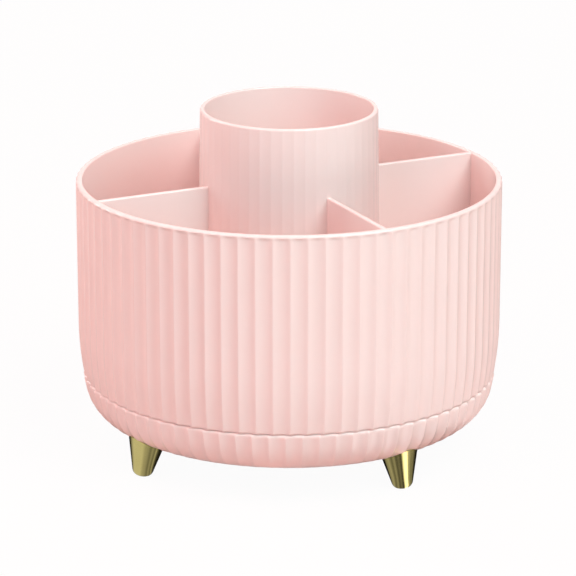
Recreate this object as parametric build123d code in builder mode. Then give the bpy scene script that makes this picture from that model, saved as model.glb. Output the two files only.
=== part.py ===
from build123d import *
import os
from math import asin, cos, degrees, pi, radians, sin, sqrt, tan

# Rotating makeup organizer: a fluted drum with a brush cup and four compartments turns on a ball
# turntable, which sits in a fluted dish on four splayed legs.
# Millimetres. The origin is on the table under the turning axis, +Z is up, and the dividers stand
# on the diagonals, so that a compartment faces each of +X, -X, +Y and -Y.

# Drum
drum_diameter = 160.0  # over the ridges between the flutes
rim_height = 104.0  # above the table
drum_wall = 2.4
rim_outer_round = 0.9
rim_inner_round = 0.5
ledge_width = 7.0  # shelf inside the drum that carries the floor
ledge_thickness = 2.0

# Flutes of the drum and of the dish
flute_count = 80
flute_depth = 0.7
ridge_width = 0.8
drum_flute_turn = 1.35  # degrees from +X to the first ridge
dish_flute_turn = 0.1
corner_section_shares = (0, 0.17, 0.35, 0.55, 0.74, 0.9, 1)  # outlines round the dish's corner
edge_section_turns = (0, 45, 90)  # degrees, outlines round a top edge

# Wall curve that the drum and the dish share
curve_start_height = 49.0  # the wall is upright above this
belly_radius = 122.0
corner_radius = 14.6
dish_clearance = 11.7  # table to the flat underside
seam_height = 28.75
seam_gap = 0.4
dish_edge_round = 0.8
skirt_depth = 1.5  # ring under the drum's ledge that closes the seam from inside
skirt_wall = 0.9
skirt_clearance = 0.5

# Compartment floor
floor_thickness = 3.0
divider_slot_depth = 1.0
cup_spigot_height = 2.0
cup_spigot_wall = 1.5
hub_length = 5.0
hub_wall = 2.5

# Brush cup
cup_height = 130.5  # above the table, the overall height
cup_top_diameter = 66.6
cup_bore_diameter = 63.0
cup_draft = 0.9  # degrees, wider at the foot
cup_outer_round = 0.8
cup_inner_round = 0.6
cup_floor_thickness = 2.0
cup_floor_round = 3.0
cup_flute_count = 50
cup_flute_depth = 0.12
cup_ridge_width = 0.6
cup_flute_turn = 3.9  # degrees from +X to the first ridge
cup_boss_diameter = 6.0

# Dividers
divider_count = 4
divider_turn = 45.0  # degrees from +X to the first divider
divider_thickness = 1.9
divider_top_round = 0.6
groove_depth = 0.5  # into the drum's wall and the cup's wall

# Ball turntable
ball_diameter = 6.0
ball_count = 8
ball_circle_diameter = 96.0
race_width = 10.0
race_thickness = 3.0
race_spacing = 3.6  # between the facing sides of the two races
race_lip_height = 1.5
race_lip_wall = 1.5
race_rib_wall = 2.0
retainer_width = 9.0
retainer_thickness = 2.0

# Centre pivot
axle_diameter = 6.0
axle_head_diameter = 12.0
axle_head_height = 1.6
axle_head_recess = 0.2
axle_tail = 1.0  # thread past the nut
pivot_boss_wall = 5.0
hub_gap = 0.5
bush_wall = 1.5
bush_flange_width = 2.0
bush_flange_thickness = 1.0
end_play = 0.2
washer_diameter = 14.0
washer_thickness = 1.0
nut_width = 10.0  # across flats
nut_height = 5.0
nut_headroom = 1.0

# Dish
dish_wall = 2.2

# Legs
leg_count = 4
leg_turn = 56.5  # degrees from +X to the first leg, with the drum as the photo shows it
leg_circle_diameter = 138.2  # through the legs' axes on the table
leg_splay = 11.5  # degrees outwards, going down
leg_taper = 14.5  # degrees, half the cone's angle
leg_tip_diameter = 6.9
leg_tip_round = 2.4
leg_tip_sink = 0.35  # tip cut off flat at the table
leg_spigot_diameter = 7.0
leg_socket_rise = 2.6  # spigot's end above the dish's inner floor
leg_boss_wall = 2.0
leg_boss_cap = 2.0

# Screws
screw_diameter = 2.5
screw_head_diameter = 4.6
screw_head_height = 1.6
screw_socket_width = 1.5
screw_socket_depth = 0.8
floor_screw_count = 8
floor_screw_turn = 22.5
floor_screw_bite = 2.0  # into the floor plate
floor_screw_inset = 2.6  # from the ledge's inner edge
cup_screw_count = 4
cup_screw_circle_diameter = 50.0
cup_screw_bite = 5.0  # into the cup's bosses
leg_screw_bite = 6.0  # into the leg's spigot

# Fits
seat_clearance = 0.1  # between pieces that are fixed to each other
running_clearance = 0.05  # axle in its bush
ball_clearance = 0.1  # ball to race
pocket_clearance = 0.15  # ball to retainer
overrun = 2.0  # how far a cutting shape reaches past what it cuts

# Radii and levels that follow from the sizes above
drum_radius = drum_diameter / 2
drum_bore_radius = drum_radius - drum_wall
drum_bottom = seam_height + seam_gap / 2
dish_top = seam_height - seam_gap / 2
ledge_top = drum_bottom + ledge_thickness
floor_top = ledge_top + floor_thickness
dish_floor = dish_clearance + dish_wall
hub_bottom = ledge_top - hub_length

# The wall curve: an upright line, the belly's arc and the corner's arc, each tangent to the next
belly_centre_radius = drum_radius - belly_radius
belly_drop = curve_start_height - dish_clearance - corner_radius
belly_angle = degrees(asin(belly_drop / (belly_radius - corner_radius)))
corner_centre_radius = belly_centre_radius + (belly_radius - corner_radius) * cos(radians(belly_angle))
corner_centre_height = dish_clearance + corner_radius


def wall_radius(height, inset=0):
    """Radius of the wall curve at a height above the corner, moved inwards by inset."""
    drop = max(curve_start_height - height, 0)
    return belly_centre_radius + sqrt((belly_radius - inset) ** 2 - drop**2)


def wall_arc(low, high, inset=0):
    """Belly arc of the wall curve, from one height to another."""
    heights = (low, (low + high) / 2, high)
    return ThreePointArc(*[(wall_radius(height, inset), height) for height in heights])


def corner_point(angle, inset=0):
    """Point on the dish's corner arc, at an angle below the horizontal."""
    reach = corner_radius - inset
    turn = radians(angle)
    return (corner_centre_radius + reach * cos(turn), corner_centre_height - reach * sin(turn))


def dish_curve(top, inset=0):
    """Wall curve of the dish from its upper edge to the axis, with the flat underside."""
    join = corner_point(belly_angle, inset)
    middle = corner_point((belly_angle + 90) / 2, inset)
    end = corner_point(90, inset)
    wall_arc(top, join[1], inset)
    ThreePointArc(join, middle, end)
    Line(end, (0, end[1]))


def cup_radius(height):
    """Outer radius of the cup over its ridges."""
    return cup_top_diameter / 2 + (cup_height - height) * tan(radians(cup_draft))


def polar_point(radius, turn):
    """Plan point at a radius and an angle in radians."""
    return (radius * cos(turn), radius * sin(turn))


def fluted_section(radius, height, depth, count, ridge, first_ridge):
    """Scalloped outline at a height: narrow flat ridges with hollow arcs between them."""
    pitch = 2 * pi / count
    edge = ridge / radius / 2
    with BuildLine() as flute:
        Line(polar_point(radius, -edge), polar_point(radius, edge))
        ThreePointArc(
            polar_point(radius, edge),
            polar_point(radius - depth, pitch / 2),
            polar_point(radius, pitch - edge),
        )
    turns = polar_angles(count, first_ridge)
    outline = [piece.rotate(Axis.Z, turn) for turn in turns for piece in flute.edges()]
    with BuildSketch(Plane.XY.offset(height)) as section:
        make_face(outline)
    return section.sketch


def rounded_edge(section, radius, height, rounding):
    """Fluted outlines that round over a top edge."""
    turns = [radians(turn) for turn in edge_section_turns]
    return [
        section(radius - rounding * (1 - cos(turn)), height - rounding * (1 - sin(turn)))
        for turn in turns
    ]


def radial_plane(angle):
    """Upright plane through the axis: x runs outwards and y runs up."""
    turn = radians(angle)
    return Plane(origin=(0, 0, 0), x_dir=(cos(turn), sin(turn), 0), z_dir=(sin(turn), -cos(turn), 0))


def polar_angles(count, first):
    """Angles of a ring of equal pieces."""
    return [first + 360 / count * number for number in range(count)]


def save(piece, name):
    """Label a finished piece and write it."""
    piece.label = name
    export_step(piece, f"parts/{name}.step")


os.makedirs("parts", exist_ok=True)

# Drum shell: fluted outside, upright above and drawn in below, hollowed for the bore, the ledge that
# carries the floor and the dividers' grooves
ledge_inner_radius = wall_radius(ledge_top, drum_wall) - ledge_width
floor_screw_radius = ledge_inner_radius + floor_screw_inset
skirt_radius = wall_radius(drum_bottom - skirt_depth, dish_wall) - skirt_clearance
groove_width = divider_thickness + 2 * seat_clearance
groove_inset = drum_wall - groove_depth


def drum_section(radius, height):
    """Fluted outline of the drum."""
    return fluted_section(radius, height, flute_depth, flute_count, ridge_width, drum_flute_turn)


with BuildPart() as drum_hollow:
    with BuildSketch(Plane.XZ):
        with BuildLine():
            rim_round_height = rim_height - rim_inner_round
            rim_round_radius = drum_bore_radius + rim_inner_round
            wall_arc(ledge_top, curve_start_height, drum_wall)
            Line((drum_bore_radius, curve_start_height), (drum_bore_radius, rim_round_height))
            CenterArc((rim_round_radius, rim_round_height), rim_inner_round, 180, -90)
            Polyline(
                (rim_round_radius, rim_height),
                (0, rim_height),
                (0, drum_bottom),
                (ledge_inner_radius, drum_bottom),
                (ledge_inner_radius, ledge_top),
                (wall_radius(ledge_top, drum_wall), ledge_top),
            )
        make_face()
    revolve(axis=Axis.Z)
    for angle in polar_angles(divider_count, divider_turn):
        with BuildSketch(radial_plane(angle)):
            with BuildLine():
                groove_foot = wall_radius(ledge_top, groove_inset)
                wall_arc(ledge_top, curve_start_height, groove_inset)
                Polyline(
                    (drum_radius - groove_inset, curve_start_height),
                    (drum_radius - groove_inset, rim_height),
                    (groove_foot - overrun, rim_height),
                    (groove_foot - overrun, ledge_top),
                    (groove_foot, ledge_top),
                )
            make_face()
        extrude(amount=groove_width / 2, both=True)
    with BuildSketch(Plane.XY.offset(drum_bottom)):
        with PolarLocations(floor_screw_radius, floor_screw_count, start_angle=floor_screw_turn):
            Circle(screw_diameter / 2 + seat_clearance)
    extrude(amount=ledge_thickness)

with BuildPart() as drum_shell:
    belly_heights = (drum_bottom, (drum_bottom + curve_start_height) / 2, curve_start_height)
    loft([drum_section(wall_radius(height), height) for height in belly_heights])
    upright = rim_height - rim_outer_round - curve_start_height
    extrude(drum_section(drum_radius, curve_start_height), amount=upright)
    loft(rounded_edge(drum_section, drum_radius, rim_height, rim_outer_round))
    add(drum_hollow.part, mode=Mode.SUBTRACT)
    with BuildSketch(Plane.XY.offset(drum_bottom)):
        Circle(skirt_radius)
        Circle(skirt_radius - skirt_wall, mode=Mode.SUBTRACT)
    extrude(amount=-skirt_depth)

save(drum_shell.part, "drum_shell")

# Brush cup: a drafted tube with a raised floor, whose skirt hides the pivot's nut
bush_top = floor_top + bush_flange_thickness
washer_bottom = bush_top + end_play
nut_bottom = washer_bottom + washer_thickness
axle_top = nut_bottom + nut_height + axle_tail
cup_floor_under = axle_top + nut_headroom
cup_floor_top = cup_floor_under + cup_floor_thickness
cup_bore_radius = cup_bore_diameter / 2


def cup_section(radius, height):
    """Fluted outline of the cup."""
    return fluted_section(
        radius, height, cup_flute_depth, cup_flute_count, cup_ridge_width, cup_flute_turn
    )


with BuildPart() as cup_hollow:
    with BuildSketch(Plane.XZ):
        with BuildLine():
            cup_round_height = cup_height - cup_inner_round
            cup_round_radius = cup_bore_radius + cup_inner_round
            floor_round_height = cup_floor_top + cup_floor_round
            floor_round_radius = cup_bore_radius - cup_floor_round
            CenterArc((floor_round_radius, floor_round_height), cup_floor_round, -90, 90)
            Line((cup_bore_radius, floor_round_height), (cup_bore_radius, cup_round_height))
            CenterArc((cup_round_radius, cup_round_height), cup_inner_round, 180, -90)
            Polyline(
                (cup_round_radius, cup_height),
                (0, cup_height),
                (0, cup_floor_top),
                (floor_round_radius, cup_floor_top),
            )
        make_face()
    revolve(axis=Axis.Z)
    with BuildSketch(Plane.XY.offset(floor_top)):
        Circle(cup_bore_radius)
        with PolarLocations(cup_screw_circle_diameter / 2, cup_screw_count):
            Circle(cup_boss_diameter / 2, mode=Mode.SUBTRACT)
    extrude(amount=cup_floor_under - floor_top)
    with BuildSketch(Plane.XY.offset(floor_top)):
        with PolarLocations(cup_screw_circle_diameter / 2, cup_screw_count):
            Circle(screw_diameter / 2 + seat_clearance)
    extrude(amount=cup_screw_bite + seat_clearance)
    for angle in polar_angles(divider_count, divider_turn):
        with BuildSketch(radial_plane(angle)):
            with BuildLine():
                Polyline(
                    (cup_radius(floor_top) - groove_depth, floor_top),
                    (cup_radius(rim_height) - groove_depth, rim_height + seat_clearance),
                    (cup_radius(rim_height) + overrun, rim_height + seat_clearance),
                    (cup_radius(floor_top) + overrun, floor_top),
                    close=True,
                )
            make_face()
        extrude(amount=groove_width / 2, both=True)

with BuildPart() as brush_cup:
    cup_shoulder = cup_height - cup_outer_round
    cup_foot = cup_section(cup_radius(floor_top), floor_top)
    loft([cup_foot, cup_section(cup_radius(cup_shoulder), cup_shoulder)], ruled=True)
    loft(rounded_edge(cup_section, cup_radius(cup_shoulder), cup_height, cup_outer_round))
    add(cup_hollow.part, mode=Mode.SUBTRACT)

save(brush_cup.part, "brush_cup")

# Dividers: panels that stand in slots of the floor, with their ends in the grooves
divider_foot = floor_top - divider_slot_depth
divider_inset = drum_wall - groove_depth + seat_clearance


def divider_inner_radius(height):
    """Radius of a divider's inner end, in the cup's groove."""
    return cup_radius(height) - groove_depth + seat_clearance


for number, angle in enumerate(polar_angles(divider_count, divider_turn), start=1):
    with BuildPart() as divider:
        with BuildSketch(radial_plane(angle)):
            with BuildLine():
                wall_arc(divider_foot, curve_start_height, divider_inset)
                Polyline(
                    (drum_radius - divider_inset, curve_start_height),
                    (drum_radius - divider_inset, rim_height),
                    (divider_inner_radius(rim_height), rim_height),
                    (divider_inner_radius(divider_foot), divider_foot),
                    (wall_radius(divider_foot, divider_inset), divider_foot),
                )
            make_face()
        extrude(amount=divider_thickness / 2, both=True)
        top_edges = divider.edges().group_by(Axis.Z)[-1].sort_by(SortBy.LENGTH)[-2:]
        fillet(top_edges, radius=divider_top_round)
    save(divider.part, f"divider_{number}")

# Floor plate: slots for the dividers, a spigot for the cup, a hub for the bush, a lip for the race
floor_radius = wall_radius(ledge_top, drum_wall) - seat_clearance
bush_radius = axle_diameter / 2 + running_clearance + bush_wall
hub_radius = bush_radius + seat_clearance + hub_wall
ball_circle_radius = ball_circle_diameter / 2
race_inner_radius = ball_circle_radius - race_width / 2
lip_radius = race_inner_radius - seat_clearance
spigot_radius = cup_bore_radius - seat_clearance
slot_inner_radius = divider_inner_radius(divider_foot) - seat_clearance

with BuildPart() as floor_plate:
    with BuildSketch(Plane.XY.offset(ledge_top)):
        Circle(floor_radius)
    extrude(amount=floor_thickness)
    with BuildSketch(Plane.XY.offset(floor_top)):
        Circle(spigot_radius)
        Circle(spigot_radius - cup_spigot_wall, mode=Mode.SUBTRACT)
    extrude(amount=cup_spigot_height)
    with BuildSketch(Plane.XY.offset(ledge_top)):
        Circle(hub_radius)
    extrude(amount=-hub_length)
    with BuildSketch(Plane.XY.offset(ledge_top)):
        Circle(lip_radius)
        Circle(lip_radius - race_lip_wall, mode=Mode.SUBTRACT)
    extrude(amount=-race_lip_height)
    with BuildSketch(Plane.XY.offset(divider_foot)):
        slot_length = drum_radius - slot_inner_radius
        with PolarLocations(slot_inner_radius + slot_length / 2, divider_count, start_angle=divider_turn):
            Rectangle(slot_length, groove_width)
    extrude(amount=divider_slot_depth, mode=Mode.SUBTRACT)
    with BuildSketch(Plane.XY.offset(hub_bottom)):
        Circle(bush_radius + seat_clearance)
    extrude(amount=floor_top - hub_bottom, mode=Mode.SUBTRACT)
    with BuildSketch(Plane.XY.offset(ledge_top)):
        with PolarLocations(cup_screw_circle_diameter / 2, cup_screw_count):
            Circle(screw_diameter / 2 + seat_clearance)
    extrude(amount=floor_thickness, mode=Mode.SUBTRACT)
    with BuildSketch(Plane.XY.offset(ledge_top)):
        with PolarLocations(floor_screw_radius, floor_screw_count, start_angle=floor_screw_turn):
            Circle(screw_diameter / 2 + seat_clearance)
    extrude(amount=floor_screw_bite + seat_clearance, mode=Mode.SUBTRACT)

save(floor_plate.part, "floor_plate")


def pan_screw(shank_length):
    """Screw with its shank up and its head's seat at the origin."""
    with BuildPart() as screw:
        with BuildSketch(Plane.XY):
            Circle(screw_diameter / 2)
        extrude(amount=shank_length)
        with BuildSketch(Plane.XY):
            Circle(screw_head_diameter / 2)
        extrude(amount=-screw_head_height)
        with BuildSketch(Plane.XY.offset(-screw_head_height)):
            RegularPolygon(radius=screw_socket_width / 2, side_count=6, major_radius=False)
        extrude(amount=screw_socket_depth, mode=Mode.SUBTRACT)
    return screw.part


# Screws from below through the ledge into the floor, and through the floor into the cup
floor_screw = pan_screw(ledge_thickness + floor_screw_bite)
cup_screw = pan_screw(floor_thickness + cup_screw_bite)

with BuildPart() as floor_screws:
    with Locations((0, 0, drum_bottom)):
        with PolarLocations(floor_screw_radius, floor_screw_count, start_angle=floor_screw_turn):
            add(floor_screw)

save(floor_screws.part, "floor_screws")

with BuildPart() as cup_screws:
    with Locations((0, 0, ledge_top)):
        with PolarLocations(cup_screw_circle_diameter / 2, cup_screw_count):
            add(cup_screw)

save(cup_screws.part, "cup_screws")

# Ball turntable: two grooved races, with the balls in a flat retainer between them
upper_race_bottom = ledge_top - race_thickness
lower_race_top = upper_race_bottom - race_spacing
lower_race_bottom = lower_race_top - race_thickness
ball_height = lower_race_top + race_spacing / 2
ball_radius = ball_diameter / 2

for name, middle_height in (
    ("upper_race_ring", upper_race_bottom + race_thickness / 2),
    ("lower_race_ring", lower_race_bottom + race_thickness / 2),
):
    with BuildPart() as race:
        with BuildSketch(Plane.XZ):
            with Locations((ball_circle_radius, middle_height)):
                Rectangle(race_width, race_thickness)
            with Locations((ball_circle_radius, ball_height)):
                Circle(ball_radius + ball_clearance, mode=Mode.SUBTRACT)
        revolve(axis=Axis.Z)
    save(race.part, name)

with BuildPart() as ball_retainer:
    with BuildSketch(Plane.XY.offset(ball_height - retainer_thickness / 2)):
        Circle(ball_circle_radius + retainer_width / 2)
        Circle(ball_circle_radius - retainer_width / 2, mode=Mode.SUBTRACT)
        with PolarLocations(ball_circle_radius, ball_count):
            Circle(ball_radius + pocket_clearance, mode=Mode.SUBTRACT)
    extrude(amount=retainer_thickness)

save(ball_retainer.part, "ball_retainer")

with BuildPart() as bearing_balls:
    with Locations((0, 0, ball_height)):
        with PolarLocations(ball_circle_radius, ball_count):
            Sphere(ball_radius)

save(bearing_balls.part, "bearing_balls")

# Centre pivot: the axle's head is let into the dish's underside, and a nut on a washer holds the bush
axle_radius = axle_diameter / 2
axle_head_bottom = dish_clearance + axle_head_recess
axle_seat = axle_head_bottom + axle_head_height
pivot_boss_top = hub_bottom - hub_gap

with BuildPart() as pivot_axle:
    with BuildSketch(Plane.XY.offset(axle_head_bottom)):
        Circle(axle_head_diameter / 2)
    extrude(amount=axle_head_height)
    with BuildSketch(Plane.XY.offset(axle_seat)):
        Circle(axle_radius)
    extrude(amount=axle_top - axle_seat)

save(pivot_axle.part, "pivot_axle")

with BuildPart() as pivot_bush:
    with BuildSketch(Plane.XY.offset(hub_bottom)):
        Circle(bush_radius)
    extrude(amount=bush_top - hub_bottom)
    with BuildSketch(Plane.XY.offset(floor_top)):
        Circle(bush_radius + bush_flange_width)
    extrude(amount=bush_flange_thickness)
    with BuildSketch(Plane.XY.offset(hub_bottom)):
        Circle(axle_radius + running_clearance)
    extrude(amount=bush_top - hub_bottom, mode=Mode.SUBTRACT)

save(pivot_bush.part, "pivot_bush")

with BuildPart() as pivot_washer:
    with BuildSketch(Plane.XY.offset(washer_bottom)):
        Circle(washer_diameter / 2)
        Circle(axle_radius + seat_clearance, mode=Mode.SUBTRACT)
    extrude(amount=washer_thickness)

save(pivot_washer.part, "pivot_washer")

with BuildPart() as pivot_nut:
    with BuildSketch(Plane.XY.offset(nut_bottom)):
        RegularPolygon(radius=nut_width / 2, side_count=6, major_radius=False)
        Circle(axle_radius + seat_clearance, mode=Mode.SUBTRACT)
    extrude(amount=nut_height)

save(pivot_nut.part, "pivot_nut")

# Leg as it stands at +X: its own axis leans outwards going down
leg_lean = radians(leg_splay)
leg_foot = Vector(leg_circle_diameter / 2, 0, 0)
leg_up = Vector(-sin(leg_lean), 0, cos(leg_lean))
leg_across = Vector(cos(leg_lean), 0, sin(leg_lean))
leg_plane = Plane(leg_foot, x_dir=leg_across, z_dir=(0, -1, 0))
leg_axis = Axis(leg_foot, leg_up)
leg_spigot_end = (dish_floor + leg_socket_rise) / cos(leg_lean)
leg_socket_end = leg_spigot_end + seat_clearance
leg_boss_end = leg_socket_end + leg_boss_cap
leg_cone_end = corner_centre_height / cos(leg_lean)
leg_spigot_radius = leg_spigot_diameter / 2


def leg_cone_radius(reach):
    """Radius of the leg's cone at a distance along its axis from the table."""
    return leg_tip_diameter / 2 + reach * tan(radians(leg_taper))


def along_leg(reach):
    """Plane square to the leg's axis, at a distance along it from the table."""
    return Plane(leg_foot + leg_up * reach, x_dir=leg_across, z_dir=leg_up)


# The dish's outside as a filled shape, grown by a clearance, that the leg's top is cut to
with BuildPart() as leg_seat:
    with BuildSketch(Plane.XZ):
        with BuildLine():
            dish_curve(dish_top, -seat_clearance)
            Polyline(
                (0, dish_clearance - seat_clearance),
                (0, dish_top),
                (wall_radius(dish_top, -seat_clearance), dish_top),
            )
        make_face()
    revolve(axis=Axis.Z)

with BuildPart() as leg:
    with BuildSketch(leg_plane):
        with BuildLine():
            Polyline(
                (0, -leg_tip_sink),
                (leg_cone_radius(-leg_tip_sink), -leg_tip_sink),
                (leg_cone_radius(leg_cone_end), leg_cone_end),
                (0, leg_cone_end),
                close=True,
            )
        make_face()
    revolve(axis=leg_axis)
    tip_edge = leg.edges().filter_by(GeomType.CIRCLE).sort_by(leg_axis)[0]
    fillet(tip_edge, radius=leg_tip_round)
    split(bisect_by=Plane.XY, keep=Keep.TOP)
    add(leg_seat.part, mode=Mode.SUBTRACT)
    with BuildSketch(along_leg(leg_spigot_diameter)):
        Circle(leg_spigot_radius)
    extrude(amount=leg_spigot_end - leg_spigot_diameter)
    with BuildSketch(along_leg(leg_spigot_end)):
        Circle(screw_diameter / 2 + seat_clearance)
    extrude(amount=-leg_screw_bite - seat_clearance, mode=Mode.SUBTRACT)

for number, angle in enumerate(polar_angles(leg_count, leg_turn), start=1):
    with BuildPart() as placed_leg:
        add(leg.part, rotation=(0, 0, angle))
    save(placed_leg.part, f"leg_{number}")

# Boss over a leg's socket, and the socket with its screw hole
with BuildPart() as leg_boss:
    with BuildSketch(along_leg(0)):
        Circle(leg_spigot_radius + seat_clearance + leg_boss_wall)
    extrude(amount=leg_boss_end)

with BuildPart() as leg_socket:
    with BuildSketch(along_leg(0)):
        Circle(leg_spigot_radius + seat_clearance)
    extrude(amount=leg_socket_end)
    with BuildSketch(along_leg(leg_socket_end)):
        Circle(screw_diameter / 2 + seat_clearance)
    extrude(amount=leg_boss_cap + overrun)

# Base dish: a fluted bowl with ribs under the lower race, a boss for the axle and the legs' sockets
rib_outer_radius = ball_circle_radius + race_width / 2
pivot_boss_radius = axle_radius + seat_clearance + pivot_boss_wall


def dish_section(radius, height, fade=1):
    """Fluted outline of the dish, with its flutes fading out under the corner."""
    depth = flute_depth * fade
    return fluted_section(radius, height, depth, flute_count, ridge_width, dish_flute_turn)


with BuildPart() as dish_hollow:
    with BuildSketch(Plane.XZ):
        with BuildLine():
            dish_curve(dish_top, dish_wall)
            Polyline((0, dish_floor), (0, dish_top), (wall_radius(dish_top, dish_wall), dish_top))
        make_face()
    revolve(axis=Axis.Z)
    with BuildSketch(Plane.XY.offset(dish_floor)):
        Circle(rib_outer_radius)
        Circle(rib_outer_radius - race_rib_wall, mode=Mode.SUBTRACT)
        Circle(race_inner_radius + race_rib_wall)
        Circle(lip_radius - race_lip_wall, mode=Mode.SUBTRACT)
    extrude(amount=lower_race_bottom - dish_floor, mode=Mode.SUBTRACT)
    with BuildSketch(Plane.XY.offset(lower_race_bottom)):
        Circle(lip_radius)
        Circle(lip_radius - race_lip_wall, mode=Mode.SUBTRACT)
    extrude(amount=race_lip_height, mode=Mode.SUBTRACT)
    with BuildSketch(Plane.XY.offset(dish_floor)):
        Circle(pivot_boss_radius)
    extrude(amount=pivot_boss_top - dish_floor, mode=Mode.SUBTRACT)
    with PolarLocations(0, leg_count, start_angle=leg_turn):
        add(leg_boss.part, mode=Mode.SUBTRACT)
    with PolarLocations(0, leg_count, start_angle=leg_turn):
        add(leg_socket.part)
    with BuildSketch(Plane.XY.offset(dish_clearance)):
        Circle(axle_head_diameter / 2 + seat_clearance)
    extrude(amount=axle_seat - dish_clearance)
    with BuildSketch(Plane.XY.offset(axle_seat)):
        Circle(axle_radius + seat_clearance)
    extrude(amount=pivot_boss_top - axle_seat)

with BuildPart() as base_dish:
    dish_shoulder = dish_top - dish_edge_round
    dish_sections = [dish_section(wall_radius(dish_shoulder), dish_shoulder)]
    for share in corner_section_shares:
        radius, height = corner_point(belly_angle + (90 - belly_angle) * share)
        dish_sections.append(dish_section(radius, height, cos(radians(90 * share))))
    loft(dish_sections)
    loft(rounded_edge(dish_section, wall_radius(dish_shoulder), dish_top, dish_edge_round))
    add(dish_hollow.part, mode=Mode.SUBTRACT)

save(base_dish.part, "base_dish")

# Screws down through the bosses into the legs
with BuildPart() as leg_screw:
    add(pan_screw(leg_boss_cap + seat_clearance + leg_screw_bite))
leg_screw_place = Plane(leg_foot + leg_up * leg_boss_end, x_dir=leg_across, z_dir=-leg_up)

with BuildPart() as leg_screws:
    for angle in polar_angles(leg_count, leg_turn):
        add(leg_screw.part.moved(leg_screw_place.location).rotate(Axis.Z, angle))

save(leg_screws.part, "leg_screws")
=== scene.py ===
"""Rotating makeup organizer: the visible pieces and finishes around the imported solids.

The fluted drum, the brush cup, the dividers, the fluted dish and the gold legs are modelled here in
the solids' own frame. The turntable, the pivot, the screws and the floor keep their solids and get
their finishes. Pieces and reflection cards are sized in millimetres, and the rest of the studio in
metres.
"""

from __future__ import annotations

import logging
import math
from dataclasses import dataclass, replace
from enum import Enum
from typing import Any, Iterable, Sequence, Union

import bmesh
import bpy
from mathutils import Matrix, Vector

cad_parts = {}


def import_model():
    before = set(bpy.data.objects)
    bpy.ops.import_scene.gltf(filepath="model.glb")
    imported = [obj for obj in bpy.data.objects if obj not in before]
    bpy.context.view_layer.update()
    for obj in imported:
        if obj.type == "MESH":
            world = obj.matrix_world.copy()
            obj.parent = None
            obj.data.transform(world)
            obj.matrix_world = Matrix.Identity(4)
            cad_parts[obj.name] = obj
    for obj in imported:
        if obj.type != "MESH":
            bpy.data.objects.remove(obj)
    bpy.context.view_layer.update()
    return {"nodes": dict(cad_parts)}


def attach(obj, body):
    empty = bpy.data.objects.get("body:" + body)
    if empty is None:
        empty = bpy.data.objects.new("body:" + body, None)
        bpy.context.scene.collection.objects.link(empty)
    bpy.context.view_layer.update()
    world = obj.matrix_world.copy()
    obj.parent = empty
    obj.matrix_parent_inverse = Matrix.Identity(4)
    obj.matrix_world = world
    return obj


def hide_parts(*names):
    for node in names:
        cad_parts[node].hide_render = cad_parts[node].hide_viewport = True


LOG = logging.getLogger("organizer")
MM = 0.001
SHARP_ANGLE = math.radians(38)
MERGE_DISTANCE = 0.004 * MM
LEAST_EDGE = MERGE_DISTANCE / 4
NOISE_MIDDLE = 0.5

Colour = tuple[float, float, float]
Point = tuple[float, float, float]
Levels = tuple[float, ...]
Stops = tuple[tuple[float, float], ...]
Number = Union[float, "Link"]

WHITE: Colour = (1.0, 1.0, 1.0)

# Sockets of a Mix node for its two colours and its result
MIX_FIRST, MIX_SECOND, MIX_RESULT = 6, 7, 2

# Strength of a card's glow by direction, in degrees from the card's own zero. The leg cards paint
# reflections on the gold legs: the bright stops paint highlight stripes and the near-black stops paint
# the shade under the dish.
RIGHT_LEG_GLOW: Stops = (
    (-180, 0.02),
    (-150, 0.02),
    (-138, 0.26),
    (-112, 0.4),
    (-90, 0.14),
    (-74, 0.32),
    (-58, 0.08),
    (-46, 0.2),
    (-26, 0.02),
    (-9, 1.9),
    (9, 2.2),
    (20, 0.5),
    (40, 0.24),
    (62, 0.2),
    (74, 0.04),
    (90, 0.02),
    (180, 0.02),
)
LEFT_LEG_GLOW: Stops = (
    (-180, 0.02),
    (-84, 0.02),
    (-70, 0.12),
    (-58, 0.4),
    (-40, 0.62),
    (30, 0.62),
    (48, 0.42),
    (68, 0.34),
    (84, 0.18),
    (98, 0.34),
    (112, 0.14),
    (124, 0.42),
    (136, 0.1),
    (152, 0.02),
    (180, 0.02),
)
# The floor card's glow paints reflected highlight lines along the flutes of the drum and the dish.
FLOOR_GLOW: Stops = (
    (-180, 0.85),
    (-150, 0.85),
    (-130, 1.0),
    (-108, 0.2),
    (-60, 0.25),
    (-20, 0.5),
    (20, 1.0),
    (50, 1.7),
    (80, 1.4),
    (110, 0.5),
    (140, 0.7),
    (180, 0.85),
)


class Body(Enum):
    """Bodies of the model that pieces ride on."""

    BASE = "base"
    CAROUSEL = "carousel"


class Slot(Enum):
    """Names of the record's material slots for the modelled pieces."""

    PINK = "pink_plastic"
    GOLD = "gold_plating"


def srgb(red: int, green: int, blue: int) -> Colour:
    """Linear colour of an 8-bit display colour.

    Args:
        red: Red from 0 to 255.
        green: Green from 0 to 255.
        blue: Blue from 0 to 255.

    Returns:
        The linear colour.
    """

    def linear(value: int) -> float:
        """Linear light of one 8-bit channel."""
        share = value / 255
        return share / 12.92 if share <= 0.04045 else ((share + 0.055) / 1.055) ** 2.4

    return (linear(red), linear(green), linear(blue))


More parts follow.
